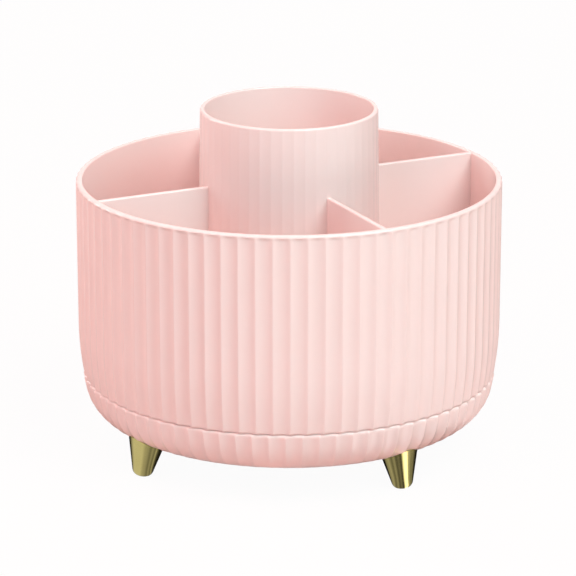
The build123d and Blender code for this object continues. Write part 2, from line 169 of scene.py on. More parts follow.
class Link:
    """An output socket that takes part in Python expressions."""

    def __init__(self, shader: Shader, socket: bpy.types.NodeSocket) -> None:
        """Keep the shader that makes the nodes and the socket itself."""
        self.shader = shader
        self.socket = socket

    def _math(self, operation: str, first: Number, second: Number) -> Link:
        """One Math node on two values."""
        return self.shader.node("ShaderNodeMath", {"operation": operation}, {0: first, 1: second})

    def __add__(self, other: Number) -> Link:
        """Sum of two values."""
        return self._math("ADD", self, other)

    def __radd__(self, other: float) -> Link:
        """Sum with the number first."""
        return self._math("ADD", other, self)

    def __sub__(self, other: Number) -> Link:
        """Difference of two values."""
        return self._math("SUBTRACT", self, other)

    def __rsub__(self, other: float) -> Link:
        """Difference with the number first."""
        return self._math("SUBTRACT", other, self)

    def __mul__(self, other: Number) -> Link:
        """Product of two values."""
        return self._math("MULTIPLY", self, other)

    def __rmul__(self, other: float) -> Link:
        """Product with the number first."""
        return self._math("MULTIPLY", other, self)

    def clamped(self, low: float, high: float) -> Link:
        """Value kept between two limits."""
        inputs = {"Value": self, "Min": low, "Max": high}
        return self.shader.node("ShaderNodeClamp", {}, inputs)


class Shader:
    """Node tree of one material or of the world."""

    def __init__(self, tree: bpy.types.NodeTree, output: str) -> None:
        """Empty the tree and add its output node.

        Args:
            tree: Node tree to fill.
            output: Type of the output node.
        """
        self.tree = tree
        tree.nodes.clear()
        self.output = tree.nodes.new(output)

    def node(
        self,
        kind: str,
        settings: dict[str, Any] | None = None,
        inputs: dict[Union[str, int], Any] | None = None,
        out: Union[str, int] = 0,
    ) -> Link:
        """Add one node.

        Args:
            kind: Type of the node.
            settings: Properties to set first.
            inputs: Values or links of its sockets.
            out: Output socket to return.

        Returns:
            The chosen output.
        """
        made = self.tree.nodes.new(kind)
        for name, value in (settings or {}).items():
            setattr(made, name, value)
        for name, value in (inputs or {}).items():
            if isinstance(value, Link):
                self.tree.links.new(value.socket, made.inputs[name])
            else:
                made.inputs[name].default_value = value
        return Link(self, made.outputs[out])

    def finish(self, surface: Link) -> None:
        """Link the finished shader to the output."""
        self.tree.links.new(surface.socket, self.output.inputs["Surface"])

    def object_coordinates(self) -> Link:
        """Coordinates of the piece's own frame."""
        return self.node("ShaderNodeTexCoord", out="Object")

    def noise(self, place: Link, scale: float, detail: float = 2.0, roughness: float = 0.5) -> Link:
        """Noise of a given scale, from 0 to 1.

        Args:
            place: Coordinates to read.
            scale: Cells per metre.
            detail: Octaves.
            roughness: Weight of the finer octaves.

        Returns:
            The noise value.
        """
        inputs = {"Vector": place, "Scale": scale, "Detail": detail, "Roughness": roughness}
        return self.node("ShaderNodeTexNoise", {}, inputs)

    def seen_directly(self) -> Link:
        """One for rays from the camera, from gloss and through glass, and nought for soft light.

        Returns:
            The mask.
        """
        path = self.node("ShaderNodeLightPath", out="Is Camera Ray")
        sockets = path.socket.node.outputs
        glossy, through = (Link(self, sockets[key]) for key in ("Is Glossy Ray", "Is Transmission Ray"))
        return (path + glossy + through).clamped(0.0, 1.0)

    def mix(self, share: Number, first: Colour, second: Colour) -> Link:
        """Colour between two colours."""
        inputs = {"Factor": share, MIX_FIRST: (*first, 1.0), MIX_SECOND: (*second, 1.0)}
        return self.node("ShaderNodeMix", {"data_type": "RGBA"}, inputs, out=MIX_RESULT)

    def blend(self, share: Link, first: Link, second: Link) -> Link:
        """Shader between two shaders."""
        return self.node("ShaderNodeMixShader", {}, {0: share, 1: first, 2: second})

    def bump(self, height: Link, distance: float, strength: float) -> Link:
        """Normal that follows a pattern of heights."""
        inputs = {"Strength": strength, "Distance": distance, "Height": height}
        return self.node("ShaderNodeBump", {}, inputs)

    def light(self, kind: str, colour: Colour, strength: float) -> Link:
        """Light of one colour, from an Emission or a Background node."""
        return self.node(kind, {}, {"Color": (*colour, 1.0), "Strength": strength})


def new_material(name: str) -> tuple[bpy.types.Material, Shader]:
    """Make an empty node material.

    Args:
        name: Name of the material.

    Returns:
        The material and its shader.
    """
    material = bpy.data.materials.new(name)
    material.use_nodes = True
    return material, Shader(material.node_tree, "ShaderNodeOutputMaterial")


@dataclass(frozen=True)
class MouldedPlastic:
    """Satin moulded plastic with a faint flow pattern and a fine mould grain."""

    name: str
    colour: Colour
    deep_colour: Colour
    roughness: float = 0.42
    roughness_spread: float = 0.08
    specular: float = 0.5
    coat: float = 0.0
    coat_roughness: float = 0.12
    flow_scale: float = 22.0
    flow_detail: float = 3.0
    flow_roughness: float = 0.55
    grain_scale: float = 2600.0
    grain_detail: float = 1.0
    grain_height: float = 0.004 * MM
    grain_strength: float = 0.35
    speckle_coarseness: float = 6.0
    speckle_share: float = 0.2
    speckle_spread: float = 0.05

    def material(self) -> bpy.types.Material:
        """Build the material.

        Returns:
            The material.
        """
        material, shader = new_material(self.name)
        place = shader.object_coordinates()
        flow = shader.noise(place, self.flow_scale, self.flow_detail, self.flow_roughness)
        speckle = shader.noise(place, self.grain_scale / self.speckle_coarseness, self.grain_detail)
        grain = shader.noise(place, self.grain_scale, self.grain_detail)
        tone = (flow * (1 - self.speckle_share) + speckle * self.speckle_share).clamped(0.0, 1.0)
        colour = shader.mix(tone, self.deep_colour, self.colour)
        roughness = self.roughness + (flow - NOISE_MIDDLE) * self.roughness_spread
        roughness = roughness + (speckle - NOISE_MIDDLE) * self.speckle_spread
        surface = shader.node(
            "ShaderNodeBsdfPrincipled",
            {},
            {
                "Base Color": colour,
                "Roughness": roughness,
                "Specular IOR Level": self.specular,
                "Coat Weight": self.coat,
                "Coat Roughness": self.coat_roughness,
                "Normal": shader.bump(grain, self.grain_height, self.grain_strength),
            },
        )
        shader.finish(surface)
        return material


@dataclass(frozen=True)
class PlatedMetal:
    """Polished or drawn metal with soft streaks in its gloss."""

    name: str
    colour: Colour
    shade_colour: Colour
    roughness: float
    roughness_spread: float = 0.05
    streak_scale: Point = (900.0, 900.0, 60.0)
    streak_height: float = 0.002 * MM
    streak_strength: float = 0.15
    cloud_scale: float = 140.0

    def material(self) -> bpy.types.Material:
        """Build the material.

        Returns:
            The material.
        """
        material, shader = new_material(self.name)
        place = shader.object_coordinates()
        stretched = shader.node("ShaderNodeMapping", {}, {"Vector": place, "Scale": self.streak_scale})
        streaks = shader.noise(stretched, 1.0)
        cloud = shader.noise(place, self.cloud_scale)
        surface = shader.node(
            "ShaderNodeBsdfPrincipled",
            {},
            {
                "Base Color": shader.mix(cloud, self.shade_colour, self.colour),
                "Metallic": 1.0,
                "Roughness": self.roughness + (streaks - NOISE_MIDDLE) * self.roughness_spread,
                "Normal": shader.bump(streaks, self.streak_height, self.streak_strength),
            },
        )
        shader.finish(surface)
        return material


@dataclass(frozen=True)
class FloorPaper:
    """White studio paper that keeps a soft shadow."""

    name: str = "studio_paper"
    colour: Colour = (0.79, 0.56, 0.52)
    white_share: float = 0.96

    def material(self) -> bpy.types.Material:
        """Build the material.

        Returns:
            The material.
        """
        material, shader = new_material(self.name)
        matte = shader.node("ShaderNodeBsdfDiffuse", {}, {"Color": (*self.colour, 1.0)})
        white = shader.light("ShaderNodeEmission", WHITE, 1.0)
        share = shader.seen_directly() * self.white_share
        shader.finish(shader.blend(share, matte, white))
        return material


PINK_FINISH = MouldedPlastic(
    name="pink_satin_plastic", colour=srgb(245, 215, 210), deep_colour=srgb(243, 211, 205), coat=0.5
)
GOLD_FINISH = PlatedMetal(
    name="polished_gold", colour=srgb(238, 222, 148), shade_colour=srgb(228, 211, 136), roughness=0.14
)
STEEL_FINISH = PlatedMetal(
    name="bright_steel", colour=srgb(205, 206, 208), shade_colour=srgb(190, 191, 194), roughness=0.24
)
ACETAL_FINISH = MouldedPlastic(
    name="white_acetal", colour=srgb(232, 231, 226), deep_colour=srgb(226, 225, 219), roughness=0.5
)


@dataclass(frozen=True)
class Row:
    """One ring of a wall: its radius over the ridges, its height and how deep its flutes are."""

    radius: float
    height: float
    depth: float = 0.0


@dataclass(frozen=True)
class Flutes:
    """Ring of hollow flutes with rounded ridges between them, in millimetres and degrees."""

    count: int
    depth: float
    ridge: float
    turn: float
    ridge_steps: int = 2
    hollow_steps: int = 11

    def stations(self, radius: float) -> list[tuple[float, float]]:
        """Angle and relative depth of the points across one flute.

        Args:
            radius: Radius over the ridges, in millimetres.

        Returns:
            Pairs of an angle in radians from the ridge and a depth from 0 to 1.
        """
        pitch = 2 * math.pi * radius / self.count
        half = self.ridge / 2
        span = pitch - self.ridge
        slope = 2 * math.atan(2 * self.depth / span)
        rounding = half / math.sin(slope)
        crest = rounding * (1 - math.cos(slope))
        total = self.depth + crest
        hollow = span * span / (8 * self.depth) + self.depth / 2
        points: list[tuple[float, float]] = []
        for step in range(self.ridge_steps):
            across = half * step / self.ridge_steps
            points.append((across, rounding - math.sqrt(rounding**2 - across**2)))
        for step in range(self.hollow_steps + 1):
            across = half + span * step / self.hollow_steps
            offset = across - pitch / 2
            points.append((across, total - hollow + math.sqrt(hollow**2 - offset**2)))
        for step in range(1, self.ridge_steps + 1):
            across = half * (1 - step / self.ridge_steps)
            points.append((pitch - across, rounding - math.sqrt(rounding**2 - across**2)))
        return [(across / radius, deep / total) for across, deep in points]


def arc_rows(
    centre: tuple[float, float], radius: float, start: float, end: float, steps: int, depth: float
) -> list[Row]:
    """Rows along an arc of the wall's profile.

    Args:
        centre: Radius and height of the arc's centre, in millimetres.
        radius: Radius of the arc.
        start: First angle in degrees, from outwards towards up.
        end: Last angle.
        steps: Number of steps.
        depth: Depth of the flutes.

    Returns:
        The rows from the first angle to the last.
    """
    rows = []
    for step in range(steps + 1):
        turn = math.radians(start + (end - start) * step / steps)
        rows.append(Row(centre[0] + radius * math.cos(turn), centre[1] + radius * math.sin(turn), depth))
    return rows


def store_mesh(name: str, mesh: bmesh.types.BMesh) -> bpy.types.Object:
    """Store a bmesh as an object at the origin.

    Args:
        name: Name of the object.
        mesh: The bmesh, in metres; it is freed.

    Returns:
        The new object.
    """
    data = bpy.data.meshes.new(name)
    mesh.to_mesh(data)
    mesh.free()
    stored = bpy.data.objects.new(name, data)
    bpy.context.scene.collection.objects.link(stored)
    return stored


def finish_mesh(name: str, mesh: bmesh.types.BMesh) -> bpy.types.Object:
    """Merge, orient, shade and store a bmesh.

    Args:
        name: Name of the piece.
        mesh: The bmesh, in metres; it is freed.

    Returns:
        The new object.
    """
    bmesh.ops.remove_doubles(mesh, verts=mesh.verts, dist=MERGE_DISTANCE)
    bmesh.ops.dissolve_degenerate(mesh, edges=mesh.edges, dist=LEAST_EDGE)
    bmesh.ops.recalc_face_normals(mesh, faces=mesh.faces)
    for face in mesh.faces:
        face.smooth = True
    for edge in mesh.edges:
        edge.smooth = edge.calc_face_angle(math.pi) < SHARP_ANGLE
    return store_mesh(name, mesh)


def spin_round(mesh: bmesh.types.BMesh, geometry: Sequence[Any], steps: int) -> None:
    """Spin an open profile a full turn about the z axis.

    Args:
        mesh: The bmesh that holds the profile.
        geometry: The profile's vertices and edges.
        steps: Number of steps.
    """
    bmesh.ops.spin(
        mesh,
        geom=geometry,
        cent=(0, 0, 0),
        axis=(0, 0, 1),
        angle=2 * math.pi,
        steps=steps,
        use_merge=True,
        use_duplicate=False,
    )


def turn_about_axis(mesh: bmesh.types.BMesh, angle: float) -> None:
    """Turn a whole bmesh about the organizer's axis by an angle in radians."""
    bmesh.ops.rotate(mesh, verts=mesh.verts, cent=(0, 0, 0), matrix=Matrix.Rotation(angle, 3, "Z"))


def fluted_ring(name: str, rows: Sequence[Row], flutes: Flutes, closed: bool) -> bpy.types.Object:
    """Model a fluted body of revolution: one flute as a strip, copied round by a spin.

    Args:
        name: Name of the piece.
        rows: Rows of the wall, in millimetres.
        flutes: The ring of flutes.
        closed: True if the last row joins the first.

    Returns:
        The new object.
    """
    path = [*rows, rows[0]] if closed else list(rows)
    stations = flutes.stations(max(row.radius for row in path))
    mesh = bmesh.new()
    across, along = len(stations), len(path)
    bmesh.ops.create_grid(mesh, x_segments=across - 1, y_segments=along - 1, size=1.0)
    for vert in mesh.verts:
        column = round((vert.co.x + 1) / 2 * (across - 1))
        row = path[round((vert.co.y + 1) / 2 * (along - 1))]
        turn, share = stations[column]
        angle = math.radians(flutes.turn) + turn
        radius = (row.radius - row.depth * share) * MM
        vert.co = (radius * math.cos(angle), radius * math.sin(angle), row.height * MM)
    copies = flutes.count - 1
    bmesh.ops.spin(
        mesh,
        geom=[*mesh.verts, *mesh.edges, *mesh.faces],
        cent=(0, 0, 0),
        axis=(0, 0, 1),
        angle=2 * math.pi * copies / flutes.count,
        steps=copies,
        use_merge=False,
        use_duplicate=True,
    )
    return finish_mesh(name, mesh)


def add_to_frame(
    piece: bpy.types.Object, body: Body, slot: Slot, material: bpy.types.Material, *nodes: str
) -> None:
    """Dress a piece and tie it to the frame.

    Args:
        piece: The piece.
        body: Body that it rides on.
        slot: Material slot of the record; not used.
        material: Its finish.
        nodes: Solids that it stands for.
    """
    piece.data.materials.clear()
    piece.data.materials.append(material)
    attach(piece, body.value)
    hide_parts(*nodes)
    LOG.info("%s: %d faces on %s", piece.name, len(piece.data.polygons), body.value)


@dataclass
class WallCurve:
    """Outside curve that the drum and the dish share, in millimetres."""

    drum_radius: float = 80.0
    curve_start: float = 49.0
    belly_radius: float = 122.0
    corner_radius: float = 14.6
    clearance: float = 11.7
    flute_end: float = 0.8

    @property
    def belly_centre(self) -> float:
        """Radius of the belly arc's centre."""
        return self.drum_radius - self.belly_radius

    @property
    def belly_angle(self) -> float:
        """Angle in degrees at which the belly meets the corner."""
        drop = self.curve_start - self.clearance - self.corner_radius
        return math.degrees(math.asin(drop / (self.belly_radius - self.corner_radius)))

    @property
    def corner_centre(self) -> tuple[float, float]:
        """Radius and height of the corner arc's centre."""
        reach = (self.belly_radius - self.corner_radius) * math.cos(math.radians(self.belly_angle))
        return (self.belly_centre + reach, self.clearance + self.corner_radius)

    def radius(self, height: float, inset: float = 0.0) -> float:
        """Radius of the wall above the corner.

        Args:
            height: Height above the table.
            inset: Distance inwards from the outside.

        Returns:
            The radius.
        """
        drop = max(self.curve_start - height, 0.0)
        return self.belly_centre + math.sqrt((self.belly_radius - inset) ** 2 - drop * drop)

    def belly_rows(
        self, low: float, high: float, steps: int, depth: float, inset: float = 0.0
    ) -> list[Row]:
        """Rows of the belly between two heights.

        Args:
            low: First height.
            high: Last height.
            steps: Number of steps.
            depth: Depth of the flutes.
            inset: Distance inwards from the outside.

        Returns:
            The rows from the first height to the last.
        """
        heights = [low + (high - low) * step / steps for step in range(steps + 1)]
        return [Row(self.radius(height, inset), height, depth) for height in heights]

    def corner_rows(
        self, start: float, end: float, steps: int, depth: float, inset: float = 0.0
    ) -> list[Row]:
        """Rows round the dish's corner, whose flutes fade out towards the flat underside.

        Args:
            start: First angle in degrees below the horizontal.
            end: Last angle.
            steps: Number of steps.
            depth: Depth of the flutes at the belly.
            inset: Distance inwards from the outside.

        Returns:
            The rows from the first angle to the last.
        """
        rows = arc_rows(self.corner_centre, self.corner_radius - inset, -start, -end, steps, depth)
        faded = []
        for step, row in enumerate(rows):
            angle = start + (end - start) * step / steps
            share = (angle - self.belly_angle) / (90 - self.belly_angle)
            fade = math.cos(math.pi / 2 * min(share / self.flute_end, 1.0))
            faded.append(Row(row.radius, row.height, depth * fade))
        return faded

    def gap(self, radius: float, height: float) -> float:
        """Distance of a point from the dish's outside.

        Args:
            radius: Distance of the point from the axis.
            height: Height above the table.

        Returns:
            The distance, negative inside the dish.
        """
        centre = self.corner_centre
        if radius <= centre[0]:
            return self.clearance - height
        if height >= centre[1]:
            return radius - self.radius(height)
        return math.hypot(radius - centre[0], height - centre[1]) - self.corner_radius


@dataclass
class Drum:
    """Fluted drum wall with its rounded rim and the ledge for the floor."""

    wall: WallCurve
    material: bpy.types.Material
    bottom: float = 29.05
    rim: float = 104.0
    thickness: float = 2.4
    rim_outer_round: float = 0.9
    rim_inner_round: float = 0.5
    rim_band: float = 1.6
    rim_share: float = 0.35
    support: float = 0.5
    foot_round: float = 0.35
    seam_floor: float = 28.62
    seam_depth: float = 0.6
    ledge_width: float = 7.0
    ledge_thickness: float = 2.0
    skirt_depth: float = 1.5
    skirt_wall: float = 0.9
    skirt_clearance: float = 0.5
    dish_wall: float = 2.2
    foot_steps: int = 3
    belly_steps: int = 12
    inner_belly_steps: int = 8
    rim_outer_steps: int = 5
    rim_inner_steps: int = 4
    outer_levels: Levels = (60.0, 75.0, 90.0)
    inner_levels: Levels = (90.0, 70.0)
    flutes: Flutes = Flutes(count=80, depth=0.78, ridge=0.8, turn=1.35)

    def rows(self) -> list[Row]:
        """Rows round the wall's whole section.

        Returns:
            The rows, from the seam up and back inside.
        """
        wall, depth = self.wall, self.flutes.depth
        bore = wall.drum_radius - self.thickness
        ledge_top = self.bottom + self.ledge_thickness
        ledge_inner = wall.radius(ledge_top, self.thickness) - self.ledge_width
        foot = wall.radius(self.bottom + self.foot_round)
        foot_centre = (foot - self.foot_round, self.bottom + self.foot_round)
        rim_centre = (wall.drum_radius - self.rim_outer_round, self.rim - self.rim_outer_round)
        inner_centre = (bore + self.rim_inner_round, self.rim - self.rim_inner_round)
        seam = foot - self.seam_depth
        rows = [Row(seam, self.seam_floor, depth), Row(seam, self.bottom, depth)]
        rows += arc_rows(foot_centre, self.foot_round, -90, 0, self.foot_steps, depth)[:-1]
        rows += wall.belly_rows(foot_centre[1], wall.curve_start, self.belly_steps, depth)
        fluted_to = self.rim - self.rim_band
        supports = (fluted_to - 2 * self.support, fluted_to - self.support, fluted_to)
        rows += [Row(wall.drum_radius, height, depth) for height in (*self.outer_levels, *supports)]
        rim_depth = depth * self.rim_share
        rows += arc_rows(rim_centre, self.rim_outer_round, 0, 90, self.rim_outer_steps, rim_depth)
        rows += arc_rows(inner_centre, self.rim_inner_round, 90, 180, self.rim_inner_steps, 0.0)
        rows += [Row(bore, height) for height in self.inner_levels]
        rows += wall.belly_rows(wall.curve_start, ledge_top, self.inner_belly_steps, 0.0, self.thickness)
        rows += [Row(ledge_inner, ledge_top), Row(ledge_inner, self.seam_floor)]
        skirt_foot = self.bottom - self.skirt_depth
        skirt_outer = wall.radius(skirt_foot, self.dish_wall) - self.skirt_clearance
        skirt_inner = skirt_outer - self.skirt_wall
        rows += [Row(skirt_inner, self.seam_floor), Row(skirt_inner, skirt_foot)]
        rows += [Row(skirt_outer, skirt_foot), Row(skirt_outer, self.seam_floor)]
        return rows

    def build(self) -> None:
        """Model and dress the drum."""
        piece = fluted_ring("drum_wall_fluted", self.rows(), self.flutes, closed=True)
        add_to_frame(piece, Body.CAROUSEL, Slot.PINK, self.material, "drum_shell")


@dataclass
class BrushCup:
    """Tall cup in the middle, with faint flutes and a raised floor."""

    material: bpy.types.Material
    foot: float = 33.95
    top: float = 130.5
    top_radius: float = 33.3
    bore: float = 31.5
    draft: float = 0.9
    outer_round: float = 0.8
    inner_round: float = 0.6
    floor_under: float = 43.15
    floor_top: float = 45.15
    floor_round: float = 3.0
    floor_steps: int = 6
    rim_outer_steps: int = 5
    rim_inner_steps: int = 4
    outer_levels: Levels = (66.0, 98.0)
    inner_levels: Levels = (100.0, 70.0)
    flutes: Flutes = Flutes(count=50, depth=0.12, ridge=0.6, turn=3.9)

    def radius(self, height: float) -> float:
        """Outer radius over the ridges at a height."""
        return self.top_radius + (self.top - height) * math.tan(math.radians(self.draft))

    def rows(self) -> list[Row]:
        """Rows round the cup's section, from under its floor to the floor's middle.

        Returns:
            The rows.
        """
        depth = self.flutes.depth
        shoulder = self.top - self.outer_round
        rim_centre = (self.radius(shoulder) - self.outer_round, shoulder)
        inner_centre = (self.bore + self.inner_round, self.top - self.inner_round)
        floor_centre = (self.bore - self.floor_round, self.floor_top + self.floor_round)
        rows = [Row(0.0, self.floor_under), Row(self.bore, self.floor_under), Row(self.bore, self.foot)]
        rows += [Row(self.radius(height), height, depth) for height in (self.foot, *self.outer_levels)]
        rows += arc_rows(rim_centre, self.outer_round, 0, 90, self.rim_outer_steps, depth)
        rows += arc_rows(inner_centre, self.inner_round, 90, 180, self.rim_inner_steps, 0.0)
        rows += [Row(self.bore, height) for height in self.inner_levels]
        rows += arc_rows(floor_centre, self.floor_round, 0, -90, self.floor_steps, 0.0)
        rows += [Row(self.bore / 2, self.floor_top), Row(0.0, self.floor_top)]
        return rows

    def build(self) -> None:
        """Model and dress the cup."""
        piece = fluted_ring("brush_cup_fluted", self.rows(), self.flutes, closed=False)
        add_to_frame(piece, Body.CAROUSEL, Slot.PINK, self.material, "brush_cup")


@dataclass
class Dividers:
    """Four radial panels between the cup and the drum."""

    wall: WallCurve
    cup: BrushCup
    material: bpy.types.Material
    count: int = 4
    turn: float = 45.0
    foot: float = 32.95
    rim: float = 104.0
    drum_wall: float = 2.4
    thickness: float = 1.9
    top_round: float = 0.6
    round_steps: int = 4
    end_sink: float = 0.25
    belly_steps: int = 8

    def outline(self) -> list[tuple[float, float]]:
        """Panel's outline as radius and height, in millimetres.

        Returns:
            The corners in order.
        """
        inset = self.drum_wall - self.end_sink
        outer = self.wall.belly_rows(self.foot, self.wall.curve_start, self.belly_steps, 0.0, inset)
        points = [(row.radius, row.height) for row in outer]
        points.append((self.wall.drum_radius - inset, self.rim))
        for height in (self.rim, self.foot):
            points.append((self.cup.radius(height) - self.cup.flutes.depth - self.end_sink, height))
        return points

    def build(self) -> None:
        """Model and dress the four panels."""
        for number in range(self.count):
            mesh = self._panel()
            turn_about_axis(mesh, math.radians(self.turn + 360 / self.count * number))
            piece = finish_mesh(f"divider_panel_{number + 1}", mesh)
            add_to_frame(piece, Body.CAROUSEL, Slot.PINK, self.material, f"divider_{number + 1}")

    def _panel(self) -> bmesh.types.BMesh:
        """Model one panel along the x axis, with its long top edges rounded.

        Returns:
            The panel in metres.
        """
        mesh = bmesh.new()
        verts = [mesh.verts.new((x * MM, -self.thickness * MM / 2, z * MM)) for x, z in self.outline()]
        face = mesh.faces.new(verts)
        pulled = bmesh.ops.extrude_face_region(mesh, geom=[face])["geom"]
        moved = [item for item in pulled if isinstance(item, bmesh.types.BMVert)]
        bmesh.ops.translate(mesh, verts=moved, vec=(0, self.thickness * MM, 0))
        bmesh.ops.recalc_face_normals(mesh, faces=mesh.faces)
        top = self.rim * MM - MERGE_DISTANCE
        edges = []
        for edge in mesh.edges:
            first, second = (vert.co for vert in edge.verts)
            if min(first.z, second.z) > top and abs(first.x - second.x) > self.thickness * MM:
                edges.append(edge)
        bmesh.ops.bevel(
            mesh,
            geom=edges,
            offset=self.top_round * MM,
            offset_type="OFFSET",
            affect="EDGES",
            segments=self.round_steps,
            profile=0.5,
            material=-1,
        )
        return mesh


@dataclass
class Dish:
    """Fluted dish, slightly proud of the drum, with ribs for the lower race and an axle boss."""

    wall: WallCurve
    material: bpy.types.Material
    proud: float = 0.3
    top: float = 28.55
    thickness: float = 2.2
    edge_round: float = 0.9
    rib_top: float = 21.35
    lip_top: float = 22.85
    outer_rib_outside: float = 53.0
    outer_rib_inside: float = 51.0
    inner_rib_outside: float = 45.0
    lip_outside: float = 42.9
    lip_inside: float = 41.4
    boss_radius: float = 8.1
    boss_top: float = 25.45
    bore: float = 3.1
    head_bore: float = 6.1
    head_seat: float = 13.5
    under_radii: Levels = (35.0, 55.0)
    corner_steps: int = 18
    inner_corner_steps: int = 10
    belly_steps: int = 4
    edge_steps: int = 4
    flutes: Flutes = Flutes(count=80, depth=0.95, ridge=0.8, turn=0.1)

    def rows(self) -> list[Row]:
        """Rows round the dish's whole section.

        Returns:
            The rows, from the boss out and back inside.
        """
        wall = replace(self.wall, drum_radius=self.wall.drum_radius + self.proud)
        depth = self.flutes.depth
        floor = wall.clearance + self.thickness
        shoulder = self.top - self.edge_round
        edge_centre = (wall.radius(shoulder) - self.edge_round, shoulder)
        join = wall.corner_centre[1] - wall.corner_radius * math.sin(math.radians(wall.belly_angle))
        rows = [Row(self.bore, self.boss_top), Row(self.bore, self.head_seat)]
        rows += [Row(self.head_bore, self.head_seat), Row(self.head_bore, wall.clearance)]
        rows += [Row(radius, wall.clearance) for radius in self.under_radii]
        rows += wall.corner_rows(90, wall.belly_angle, self.corner_steps, depth)
        rows += wall.belly_rows(join, shoulder, self.belly_steps, depth)[1:]
        rows += arc_rows(edge_centre, self.edge_round, 0, 90, self.edge_steps, depth)[1:]
        rows += [Row(wall.radius(self.top, self.thickness), self.top)]
        rows += wall.corner_rows(wall.belly_angle, 90, self.inner_corner_steps, 0.0, self.thickness)
        rows += [Row(self.outer_rib_outside, floor), Row(self.outer_rib_outside, self.rib_top)]
        rows += [Row(self.outer_rib_inside, self.rib_top), Row(self.outer_rib_inside, floor)]
        rows += [Row(self.inner_rib_outside, floor), Row(self.inner_rib_outside, self.rib_top)]
        rows += [Row(self.lip_outside, self.rib_top), Row(self.lip_outside, self.lip_top)]
        rows += [Row(self.lip_inside, self.lip_top), Row(self.lip_inside, floor)]
        rows += [Row(self.boss_radius, floor), Row(self.boss_radius, self.boss_top)]
        return rows

    def build(self) -> None:
        """Model and dress the dish."""
        piece = fluted_ring("base_dish_fluted", self.rows(), self.flutes, closed=True)
        add_to_frame(piece, Body.BASE, Slot.PINK, self.material, "base_dish")


@dataclass
class Legs:
    """Four splayed tapered legs under the dish."""

    wall: WallCurve
    material: bpy.types.Material
    count: int = 4
    turn: float = 56.5
    circle: float = 69.1
    splay: float = 11.5
    taper: float = 14.5
    tip_radius: float = 3.45
    tip_sink: float = 0.35
    tip_round: float = 3.0
    clearance: float = 0.1
    round_steps: int = 6
    cone_steps: int = 10
    spin_steps: int = 96
    seat_limit: float = 30.0
    seat_halvings: int = 40

    @property
    def slope(self) -> float:
        """Growth of the cone's radius with the reach along its axis."""
        return math.tan(math.radians(self.taper))

    def profile(self) -> list[tuple[float, float]]:
        """Radius and reach along the leg's axis, from the tip's middle to a first millimetre of cone.

        Returns:
            The points in order.
        """
        base = self.tip_radius - self.tip_sink * self.slope
        half = math.radians(90 + self.taper) / 2
        back = self.tip_round / math.tan(half)
        centre = (base - back, -self.tip_sink + self.tip_round)
        tip = arc_rows(centre, self.tip_round, -90, -self.taper, self.round_steps, 0.0)
        points = [(0.0, -self.tip_sink)]
        points += [(row.radius, row.height) for row in tip]
        reach = points[-1][1]
        for step in range(1, self.cone_steps + 1):
            along = reach + step / self.cone_steps
            points.append((self.tip_radius + along * self.slope, along))
        return points

    def build(self) -> None:
        """Model and dress the four legs."""
        for number in range(self.count):
            angle = math.radians(self.turn + 360 / self.count * number)
            piece = self._leg(f"tapered_leg_{number + 1}", angle)
            add_to_frame(piece, Body.BASE, Slot.GOLD, self.material, f"leg_{number + 1}")

    def _leg(self, name: str, angle: float) -> bpy.types.Object:
        """Stand one leg under the dish and cut its tip flat on the table.

        Args:
            name: Name of the piece.
            angle: Direction of the leg seen from above, in radians.

        Returns:
            The new object.
        """
        lean = math.radians(self.splay)
        stand = Matrix.Translation((self.circle, 0, 0)) @ Matrix.Rotation(-lean, 4, "Y")
        mesh = self._cone(stand)
        bmesh.ops.transform(mesh, matrix=stand, verts=mesh.verts)
        cut = bmesh.ops.bisect_plane(
            mesh,
            geom=[*mesh.verts, *mesh.edges, *mesh.faces],
            plane_co=(0, 0, 0),
            plane_no=(0, 0, -1),
            clear_outer=True,
        )["geom_cut"]
        foot = [edge for edge in cut if isinstance(edge, bmesh.types.BMEdge)]
        bmesh.ops.holes_fill(mesh, edges=foot, sides=0)
        bmesh.ops.scale(mesh, verts=mesh.verts, vec=(MM, MM, MM))
        turn_about_axis(mesh, angle)
        return finish_mesh(name, mesh)

    def _cone(self, stand: Matrix) -> bmesh.types.BMesh:
        """Spin one leg about its own axis and stretch its cone to the dish.

        Args:
            stand: Placement of the leg's axis.

        Returns:
            The closed leg in millimetres, upright on its own axis.
        """
        profile = self.profile()
        mesh = bmesh.new()
        verts = [mesh.verts.new((radius, 0, reach)) for radius, reach in profile]
        edges = [mesh.edges.new(pair) for pair in zip(verts, verts[1:])]
        spin_round(mesh, [*verts, *edges], self.spin_steps)
        tolerance = MERGE_DISTANCE / MM
        bmesh.ops.remove_doubles(mesh, verts=mesh.verts, dist=tolerance)
        first = profile[self.round_steps + 1][1]
        for vert in mesh.verts:
            radius = math.hypot(vert.co.x, vert.co.y)
            if vert.co.z <= first + tolerance or radius == 0:
                continue
            ray = Vector((vert.co.x / radius, vert.co.y / radius, 0))
            reach = first + (self._seat_reach(stand, ray) - first) * (vert.co.z - first)
            spread = self.tip_radius + reach * self.slope
            vert.co = (ray.x * spread, ray.y * spread, reach)
        rim = [edge for edge in mesh.edges if edge.is_boundary]
        bmesh.ops.holes_fill(mesh, edges=rim, sides=0)
        return mesh

    def _seat_reach(self, stand: Matrix, ray: Vector) -> float:
        """Reach along the leg at which one line of its cone meets the dish.

        Args:
            stand: Placement of the leg's axis.
            ray: Direction of the line seen along the axis.

        Returns:
            The reach in millimetres.
        """
        low, high = 0.0, self.seat_limit
        for _ in range(self.seat_halvings):
            reach = (low + high) / 2
            spread = self.tip_radius + reach * self.slope
            point = stand @ Vector((ray.x * spread, ray.y * spread, reach))
            if self.wall.gap(math.hypot(point.x, point.y), point.z) > self.clearance:
                low = reach
            else:
                high = reach
        return low


